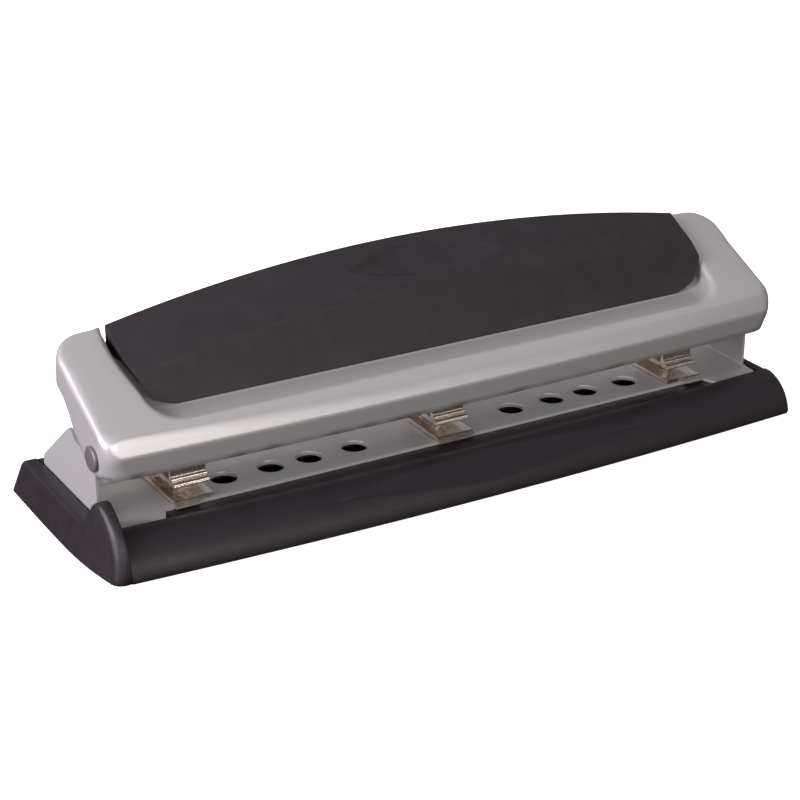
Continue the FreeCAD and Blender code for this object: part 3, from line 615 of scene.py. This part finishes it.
def bar_line(x):
    """The bar's outer line at x: up its rounded front, over its top and down to the shelf."""
    front = bar_front(x)
    arch = circle_through((front + 0.05, 2.4), (front + 3.65, 9.8), (front + 13.3, BAR_TOP), 49)
    crest = front + 15.3
    across = abs(x - SCOOP_MIDDLE) / SCOOP_HALF
    if across < 1:
        low_y = front + lerp(SCOOP_LOW, SCOOP_END, across ** 1.4)
        high_y = front + lerp(SCOOP_HIGH, SCOOP_END, across ** 1.1)
        low_z, high_z = along(arch, low_y), along(arch, high_y)
        arch = [(y, scooped(y, z, low_y, high_y, low_z, high_z)) for y, z in arch]
    line = [(front + 0.5, BASE_BOTTOM), (front + 0.05, BASE_BOTTOM + 0.6)] + arch
    return line + [(crest, BAR_TOP), (crest + 0.75, BAR_TOP - 0.3), (crest + 1.5, SHELF + 0.25),
                   (crest + 2.2, SHELF), (BAR_REAR, SHELF)]


def bar_section(x, depth, hollow):
    """A closed section of the bar. Its cavity is shut where hollow is false."""
    outer = [(y, max(z, BASE_BOTTOM)) for y, z in inset(bar_line(x), depth)]
    front = bar_front(x)
    arch = circle_through((front + 2.3, 2.0), (front + 5.6, 8.5), (front + 13.6, BAR_TOP - 4.6), 12)
    inner = [(BAR_REAR_INNER, BASE_BOTTOM), (BAR_REAR_INNER, 10.2)] + arch[::-1]
    inner.append((front + 2.3, BASE_BOTTOM))
    if not hollow:
        inner = [(y, BASE_BOTTOM) for y, z in inner]
    closed = outer + [(BAR_REAR, BASE_BOTTOM)] + inner
    return [Vector((x, y, z)) for y, z in closed]


def front_bar():
    """The bowed bar along the front, hollow between its ends, with its right end rounded."""
    hollow_left, hollow_right = BAR_LEFT + BAR_WALL, BASE_RIGHT - BAR_WALL
    sections = [bar_section(BAR_LEFT, 0.0, False), bar_section(hollow_left, 0.0, False)]
    sections += [bar_section(x, 0.0, True) for x in steps(hollow_left, hollow_right, 120)]
    sections.append(bar_section(hollow_right, 0.0, False))
    for angle in steps(0, math.pi / 2, 6):
        x = BASE_RIGHT - BAR_END_ROUND + BAR_END_ROUND * math.sin(angle)
        sections.append(bar_section(x, BAR_END_ROUND * (1 - math.cos(angle)), False))
    bar = loft("front_bar", sections, "base", "black_plastic", BLACK, crease=38)
    cut(bar, block("dent", DENT_LOW, DENT_HIGH, "base", "black_plastic", BLACK, 0.1))
    return bar


def base_moulding():
    """The black base: bowed front bar, deck under the plate, drawer rails and a sloping rear rail."""
    look = ("base", "black_plastic", BLACK)
    right, cheek_right = BASE_RIGHT - 2.0, BASE_RIGHT - 0.1
    deck_top, strip_top = SHELF - 0.02, SHELF - 0.03
    parts = [front_bar(), prism("rear_rail", REAR_RAIL, BASE_LEFT, cheek_right, *look, 0.5)]
    for name, low, high, edge in (
            ("right_cheek", (EAR_OUT + 0.4, -24.0, BASE_BOTTOM), (cheek_right, 50.0, CHEEK_TOP), 0.8),
            ("deck_front", (BASE_LEFT, -19.5, DECK_UNDER), (right, -CHIP_SLOT_HALF, deck_top), 0.05),
            ("deck_rear", (BASE_LEFT, CHIP_SLOT_HALF, DECK_UNDER), (right, 41.5, deck_top), 0.05),
            ("deck_left", (BASE_LEFT, -5.6, DECK_UNDER), (-118.0, 5.6, strip_top), 0.05),
            ("deck_right", (123.0, -5.6, DECK_UNDER), (right, 5.6, strip_top), 0.05),
            ("rail_front", (BASE_LEFT, RAIL_FRONT - RAIL_WALL, BASE_BOTTOM),
             (right, RAIL_FRONT, RAIL_TOP), 0.3),
            ("rail_rear", (BASE_LEFT, RAIL_REAR, BASE_BOTTOM), (right, RAIL_REAR + RAIL_WALL, RAIL_TOP), 0.3),
            ("end_wall", (right - BAR_WALL, -24.0, BASE_BOTTOM), (right, 46.0, 12.2), 0.6)):
        parts.append(block(name, low, high, *look, edge))
    for name, x in (("web_left", -118.0), ("web_right", 118.0)):
        for end, low_y, high_y in (("_front", -36.0, -22.8), ("_rear", 34.0, 51.5)):
            parts.append(block(name + end, (x - WEB_HALF, low_y, BASE_BOTTOM),
                               (x + WEB_HALF, high_y, WEB_TOP), *look))
    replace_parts(joined("base_shell", parts), "base_moulding")


base_moulding()


# ---------------------------------------------------------------- chip drawer
CAP_OUT = -150.6
CAP_INNER_ROUND = 0.3
CAP_INNER = [(-13.5, -141.1), (-11.5, -142.8)]
CAP_LEAN, CAP_HEIGHT = 2.2, 14.7
CAP_TURN_Y, CAP_FRONT_TURN, CAP_REAR_TURN = 4, 3.0, 0.6
CAP_FOOT = (-35.7, 53.4)
CAP_EDGES = [(-34.0, 3.0), (-18.0, 1.3)]
TRAY_LOW, TRAY_HIGH = (-143.4, -22.2, 1.4), (136.0, 32.2, 9.8)
TRAY_WALL = 1.6


def cap_face(y, z):
    """X of the cap's outer face: it leans in towards its top and curves back to the front."""
    lean = CAP_LEAN * (z - BASE_BOTTOM) / CAP_HEIGHT
    if y < CAP_TURN_Y:
        return CAP_OUT + lean + CAP_FRONT_TURN * ((CAP_TURN_Y - y) / 35) ** 2.2
    return CAP_OUT + lean + CAP_REAR_TURN * ((y - CAP_TURN_Y) / 50) ** 2


def cap_top():
    """The cap's upper outline from its front foot over the horn and along the low wall to its rear foot."""
    line = [(-35.9, BASE_BOTTOM), (-36.5, 1.5)]
    line += circle_through((-36.6, 2.6), (-32.8, 15.2), (-21.0, 25.3), 26)
    line += circle_through((-20.3, 25.3), (-16.8, 24.3), (-14.5, 21.4), 10)
    line += circle_through((-12.4, 18.2), (-10.2, 16.0), (-7.2, 15.4), 8)
    line += [(y, 15.4 + 0.4 * (y + 7) / 50) for y in steps(-4.0, 42.0, 24)]
    line += circle_through((43.6, 15.8), (46.4, 14.8), (48.2, 12.4), 9)
    line += [(48.2 + 5.7 * share, 12.4 - 11.2 * share) for share in steps(0, 1, 8)[1:]]
    line.append((53.6, BASE_BOTTOM))
    return line


def drawer_cap():
    """The drawer's end cap: a shaped wall with a horn at its front and well rounded outer edges."""
    top = cap_top()
    foot_front, foot_rear = CAP_FOOT
    foot = [min(max(y, foot_front), foot_rear) for y, z in top]
    radii = [along(CAP_EDGES, y) for y, z in top]
    count = len(top)
    rings = []

    def ring(depths, x_of):
        upper = [(y, max(z, BASE_BOTTOM)) for y, z in inset(top, depths)]
        lower = [(min(max(y, foot_front + depths[0]), foot_rear - depths[-1]), BASE_BOTTOM) for y in foot]
        rings.append([Vector((x_of(y, z), y, z)) for y, z in upper + lower[::-1]])

    for angle in steps(0, math.pi / 2, 4):
        depths = [CAP_INNER_ROUND * (1 - math.sin(angle))] * count
        ring(depths, lambda y, z, a=angle: along(CAP_INNER, y) - CAP_INNER_ROUND * (1 - math.cos(a)))
    for angle in steps(0, math.pi / 2, 9):
        depths = [radius * (1 - math.cos(angle)) for radius in radii]

        def outer_x(y, z, a=angle):
            return cap_face(y, z) + along(CAP_EDGES, y) * (1 - math.sin(a))
        ring(depths, outer_x)
    points = [point for loop in rings for point in loop]
    faces = grid_faces(len(rings), 2 * count, closed=True)
    faces.append(tuple(range(2 * count)))
    last = (len(rings) - 1) * 2 * count
    ladder = [[last + index for index in range(count)]]
    for share in steps(0, 1, 7)[1:-1]:
        row = []
        for index in range(count):
            upper, lower = rings[-1][index], rings[-1][2 * count - 1 - index]
            y, z = lerp(upper.y, lower.y, share), lerp(upper.z, lower.z, share)
            row.append(len(points))
            points.append(Vector((cap_face(y, z), y, z)))
        ladder.append(row)
    ladder.append([last + 2 * count - 1 - index for index in range(count)])
    for above, below in zip(ladder, ladder[1:]):
        for index in range(count - 1):
            faces.append((above[index], above[index + 1], below[index + 1], below[index]))
    return made("drawer_cap", points, faces, "drawer", BLACK, crease=40)


def drawer_tray():
    """The open tray behind the cap."""
    corners = []
    for depth in (0.0, TRAY_WALL):
        low_x, high_x = TRAY_LOW[0] + depth, TRAY_HIGH[0] - depth
        low_y, high_y = TRAY_LOW[1] + depth, TRAY_HIGH[1] - depth
        for z in (TRAY_LOW[2] + depth, TRAY_HIGH[2]):
            corners += [(low_x, low_y, z), (high_x, low_y, z), (high_x, high_y, z), (low_x, high_y, z)]
    faces = [(0, 1, 2, 3), (8, 9, 10, 11)]
    for index in range(4):
        after = (index + 1) % 4
        faces += [(index, after, 4 + after, 4 + index), (8 + index, 8 + after, 12 + after, 12 + index),
                  (4 + index, 4 + after, 12 + after, 12 + index)]
    tray = made("drawer_tray", corners, faces, "drawer", BLACK)
    soften(tray, 0.5, 40, 3)
    settle(tray, 40)
    return tray


drawer = joined("drawer_shell", [drawer_cap(), drawer_tray()])
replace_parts(drawer, "chip_drawer")


# ---------------------------------------------------------------- base plate
PLATE_TOP, PLATE_UNDER = 13.5, 12.3
PLATE_FRONT, PLATE_REAR = -12.6, 40.0
WING_FRONT, WING_START = -19.5, 117.6
EAR_FRONT, BEND = -10.1, 1.6
EAR_TOP = [(-10.2, 41.5), (-8.0, 41.5), (2.0, 37.0), (7.5, 37.2), (9.6, 39.6), (11.0, 40.15), (12.4, 40.2),
           (14.6, 38.9), (39.3, 19.4), (39.7, 17.5)]
CHIP_HOLES = (34.925, 53.975, 69.85, 88.9)
CHIP_HOLE_RADIUS = 5.0
HOLE_ROUND = 0.5
COLLAR_WALL, COLLAR_LOW, COLLAR_HIGH = 0.4, 1.7, 0.9
WING_BACK = -12.0
WING_STEPS = [(WING_START, PLATE_FRONT), (WING_START + 3.0, WING_FRONT),
              (EAR_OUT - 2.5, WING_FRONT), (EAR_OUT - 1.0, WING_FRONT + 2.0)]
LUG_RADIUS = 5.5
PLATE_EDGE = 0.28
HEAD_PITCH, HEAD_SHIFT = 107.95, 2.5
PIVOT_Y, PIVOT_Z = -13.5, 39.3


def ear_section(y, height):
    """The plate's closed section at y, with both ears drawn up to a height."""
    ear_in = EAR_OUT - SHEET
    outer = [(EAR_OUT - BEND + BEND * math.sin(angle), PLATE_UNDER + BEND * (1 - math.cos(angle)))
             for angle in steps(0, math.pi / 2, 6)]
    small = BEND - SHEET + 0.35
    inner = [(ear_in - small + small * math.sin(angle), PLATE_TOP + small * (1 - math.cos(angle)))
             for angle in steps(math.pi / 2, 0, 6)]
    if height < PLATE_TOP + 1.0:
        edge = EAR_OUT - 0.4
        right = [(x, PLATE_UNDER) for x, z in outer] + [(edge, PLATE_UNDER + 0.3), (edge, PLATE_TOP - 0.01)]
        right += [(x, PLATE_TOP) for x, z in inner]
    else:
        right = outer + [(EAR_OUT, height), (ear_in, height)] + inner
    left = [(-x, z) for x, z in reversed(right)]
    return [Vector((x, y, z)) for x, z in right + left]


def hole_collar(x, body, slot, material):
    """The rolled-in wall under a chip hole's rim."""
    outer, low, high = CHIP_HOLE_RADIUS + COLLAR_WALL, PLATE_TOP - COLLAR_LOW, PLATE_TOP - COLLAR_HIGH
    profile = [(CHIP_HOLE_RADIUS, low), (outer, low), (outer, high), (CHIP_HOLE_RADIUS, high)]
    angles = [2 * math.pi * index / AROUND for index in range(AROUND)]
    points = [Vector((x + radius * math.cos(angle), radius * math.sin(angle), z))
              for angle in angles for radius, z in profile]
    count = len(profile)
    faces = []
    for index in range(AROUND):
        here, after = index * count, (index + 1) % AROUND * count
        for side in range(count):
            turn = (side + 1) % count
            faces.append((here + side, here + turn, after + turn, after + side))
    return made("collar", points, faces, body, material, crease=40)


def base_plate():
    """The pressed plate: rolled hole rims, front wings and two bent-up ears."""
    look = ("base", "plate_paint", PLATE)
    sections = [ear_section(PLATE_FRONT, 0.0), ear_section(EAR_FRONT, 0.0)]
    spots = sorted({y for y, z in EAR_TOP[1:-1]} | {EAR_FRONT, 17.0, 22.0, 28.0, 34.0, PLATE_REAR - 0.3})
    sections += [ear_section(y, along(EAR_TOP, y)) for y in spots]
    sections += [ear_section(PLATE_REAR - 0.3, 0.0), ear_section(PLATE_REAR, 0.0)]
    plate = loft("plate", sections, *look)
    for side in (-1, 1):
        sections = [[Vector((side * x, y, z)) for y, z in ((front, PLATE_UNDER), (WING_BACK, PLATE_UNDER),
                                                           (WING_BACK, PLATE_TOP), (front, PLATE_TOP))]
                    for x, front in WING_STEPS[::side]]
        cut(plate, loft("wing", sections, *look), "UNION")
    wide = CHIP_HOLE_RADIUS + HOLE_ROUND
    rim = [(0.0, -3.0), (CHIP_HOLE_RADIUS, -3.0), (CHIP_HOLE_RADIUS, -HOLE_ROUND)]
    rim += [(CHIP_HOLE_RADIUS + HOLE_ROUND * (1 - math.cos(angle)), HOLE_ROUND * (math.sin(angle) - 1))
            for angle in steps(0.3, 1.3, 4)]
    rim += [(wide, 0.0), (wide, 0.3), (0.0, 0.3)]
    places = [side * x for x in CHIP_HOLES for side in (-1, 1)]
    places += [HEAD_SHIFT + side * HEAD_PITCH for side in (-1, 0, 1)]
    for x in places:
        cut(plate, turned("hole", rim, (x, 0, PLATE_TOP), (0, 0, 1), *look))
    soften(plate, PLATE_EDGE, 50, 3)
    settle(plate, 40)
    disc = [(0, 0), (LUG_RADIUS, 0), (LUG_RADIUS, SHEET), (0, SHEET)]
    lugs = [turned("lug", disc, (x, PIVOT_Y, PIVOT_Z), (1, 0, 0), *look) for x in (-EAR_OUT, EAR_OUT - SHEET)]
    collars = [hole_collar(x, *look) for x in places]
    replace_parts(joined("plate", [plate] + lugs + collars), "base_plate")


base_plate()


# ---------------------------------------------------------------- rivets
RIVET_RADIUS, RIVET_ROUND, RIVET_DOME = 4.6, 1.3, 0.75


def pivot_rivets():
    """Low domed rivet heads over the handle's side walls, with their shanks and inner heads."""
    profile = [(0.0, -5.0), (3.4, -5.0), (3.68, -4.6), (3.68, -3.9), (2.5, -4.2), (2.5, 0.3), (4.55, 0.3),
               (RIVET_RADIUS, RIVET_DOME)]
    profile += [(RIVET_RADIUS - RIVET_ROUND * (1 - math.cos(angle)), RIVET_DOME * (1 + math.sin(angle)))
                for angle in steps(0.2, 1.3, 5)]
    profile += [(2.0, 1.52), (0.0, 1.55)]
    for side, name in ((-1, "left"), (1, "right")):
        rivet = turned("rivet_" + name, profile, (side * OUT, PIVOT_Y, PIVOT_Z), (side, 0, 0),
                       "base", "rivet_paint", RIVET)
        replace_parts(rivet, f"pivot_rivet_{name}")


pivot_rivets()


# ---------------------------------------------------------------- pin springs
SPRING_RADIUS, WIRE_RADIUS, SPRING_TURNS = 4.6, 0.45, 4
SPRING_LOW, SPRING_HIGH = 30.02, 40.98


def pin_spring(side, x):
    """A coil spring round a punch pin, carried on its head's body, with a mesh of its own."""
    around, per_turn = 12, 32
    rings = SPRING_TURNS * per_turn + 1
    first, last = SPRING_LOW + WIRE_RADIUS, SPRING_HIGH - WIRE_RADIUS
    points = []
    for index in range(rings):
        turn = 2 * math.pi * index / per_turn
        out = Vector((math.cos(turn), math.sin(turn), 0))
        centre = Vector((x, 0, lerp(first, last, index / (rings - 1)))) + out * SPRING_RADIUS
        for step in range(around):
            angle = 2 * math.pi * step / around
            points.append(centre + (out * math.cos(angle) + Vector((0, 0, math.sin(angle)))) * WIRE_RADIUS)
    faces = grid_faces(rings, around, closed=True)
    faces += [tuple(range(around)), tuple(range((rings - 1) * around, rings * around))]
    spring = made(f"spring_{side}", points, faces, f"head_{side}", SPRING, crease=50)
    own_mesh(spring)
    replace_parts(spring, f"pin_spring_{side}")


for side, offset in (("left", -HEAD_PITCH), ("middle", 0.0), ("right", HEAD_PITCH)):
    pin_spring(side, HEAD_SHIFT + offset)


# ---------------------------------------------------------------- floor, light and camera
LENS = 93.53
AZIMUTH, ELEVATION, ROLL = math.radians(-30.482), math.radians(23.589), math.radians(0.159)
CAMERA_AT = (-377.36, -615.51, 339.64)
ROOM_LOW, ROOM_HIGH = 0.03, 0.3
ROOM_DARK_BELOW, ROOM_BRIGHT_ABOVE = -0.35, 0.5
TOP_POWER, LEFT_POWER, FRONT_POWER, STRIP_POWER = 4.6, 36.0, 10.5, 2.6
FLOOR_REACH, FLOOR_GLOW = 6.0, 0.86


def stage():
    """A pale floor that runs far past the view."""
    mesh = bpy.data.meshes.new("floor")
    mesh.from_pydata([(x * FLOOR_REACH, y * FLOOR_REACH, 0) for x, y in ((-1, -1), (1, -1), (1, 1), (-1, 1))],
                     [], [(0, 1, 2, 3)])
    floor = bpy.data.objects.new("floor", mesh)
    bpy.context.scene.collection.objects.link(floor)
    finish = Finish("floor_card", (0.9, 0.9, 0.9), 0.9)
    finish.tint(finish.noise(3, 1.0), 0.995, 1.0)
    finish.shader.inputs["Emission Color"].default_value = (1, 1, 1, 1)
    finish.shader.inputs["Emission Strength"].default_value = FLOOR_GLOW
    mesh.materials.append(finish.material)
    floor.visible_diffuse = False
    floor.visible_glossy = False


def softbox(name, at, aim, size, power, colour, glossy=True):
    """An area light that faces a point. It shows in reflections only where glossy is true."""
    light = bpy.data.lights.new(name, "AREA")
    light.shape = "RECTANGLE"
    light.size, light.size_y = size
    light.energy = power
    light.color = colour
    lamp = bpy.data.objects.new(name, light)
    bpy.context.scene.collection.objects.link(lamp)
    lamp.location = at
    lamp.visible_glossy = glossy
    lamp.rotation_euler = (Vector(at) - Vector(aim)).to_track_quat("Z", "Y").to_euler()


def studio():
    """Soft light from above, the left and the front, in a room that darkens below the table."""
    world = bpy.data.worlds.new("studio")
    world.use_nodes = True
    tree = world.node_tree
    background = tree.nodes["Background"]
    background.inputs["Color"].default_value = (0.95, 0.95, 1.0, 1)
    direction = tree.nodes.new("ShaderNodeTexCoord")
    parts = tree.nodes.new("ShaderNodeSeparateXYZ")
    span = tree.nodes.new("ShaderNodeMapRange")
    for name, number in (("From Min", ROOM_DARK_BELOW), ("From Max", ROOM_BRIGHT_ABOVE),
                         ("To Min", ROOM_LOW), ("To Max", ROOM_HIGH)):
        span.inputs[name].default_value = number
    tree.links.new(direction.outputs["Generated"], parts.inputs["Vector"])
    tree.links.new(parts.outputs["Z"], span.inputs["Value"])
    tree.links.new(span.outputs["Result"], background.inputs["Strength"])
    bpy.context.scene.world = world
    middle = (0, 0, 0.03)
    softbox("top_box", (0.0, 0.2, 1.1), middle, (1.6, 1.0), TOP_POWER, (1.0, 0.985, 0.97), glossy=False)
    softbox("left_box", (-1.25, -0.1, 0.5), middle, (0.9, 0.8), LEFT_POWER, (0.95, 0.91, 1.0))
    softbox("front_box", (-0.3, -1.35, 0.55), middle, (1.4, 0.5), FRONT_POWER, (1.0, 0.97, 0.94))
    softbox("front_strip", (0.0, -1.35, 0.42), middle, (1.8, 0.07), STRIP_POWER, (1.0, 0.96, 0.92))
    bpy.context.scene.view_settings.view_transform = "Standard"


def camera():
    """The photo's viewing angle."""
    back = Vector((math.sin(AZIMUTH) * math.cos(ELEVATION), -math.cos(AZIMUTH) * math.cos(ELEVATION),
                   math.sin(ELEVATION)))
    level = Vector((math.cos(AZIMUTH), math.sin(AZIMUTH), 0))
    upright = back.cross(level)
    right = level * math.cos(ROLL) + upright * math.sin(ROLL)
    up = upright * math.cos(ROLL) - level * math.sin(ROLL)
    data = bpy.data.cameras.new("view")
    data.lens = LENS
    data.sensor_width = 36.0
    eye = bpy.data.objects.new("view", data)
    bpy.context.scene.collection.objects.link(eye)
    eye.matrix_world = Matrix.Translation(place(*CAMERA_AT)) @ Matrix((right, up, back)).transposed().to_4x4()
    bpy.context.scene.camera = eye


stage()
studio()
camera()
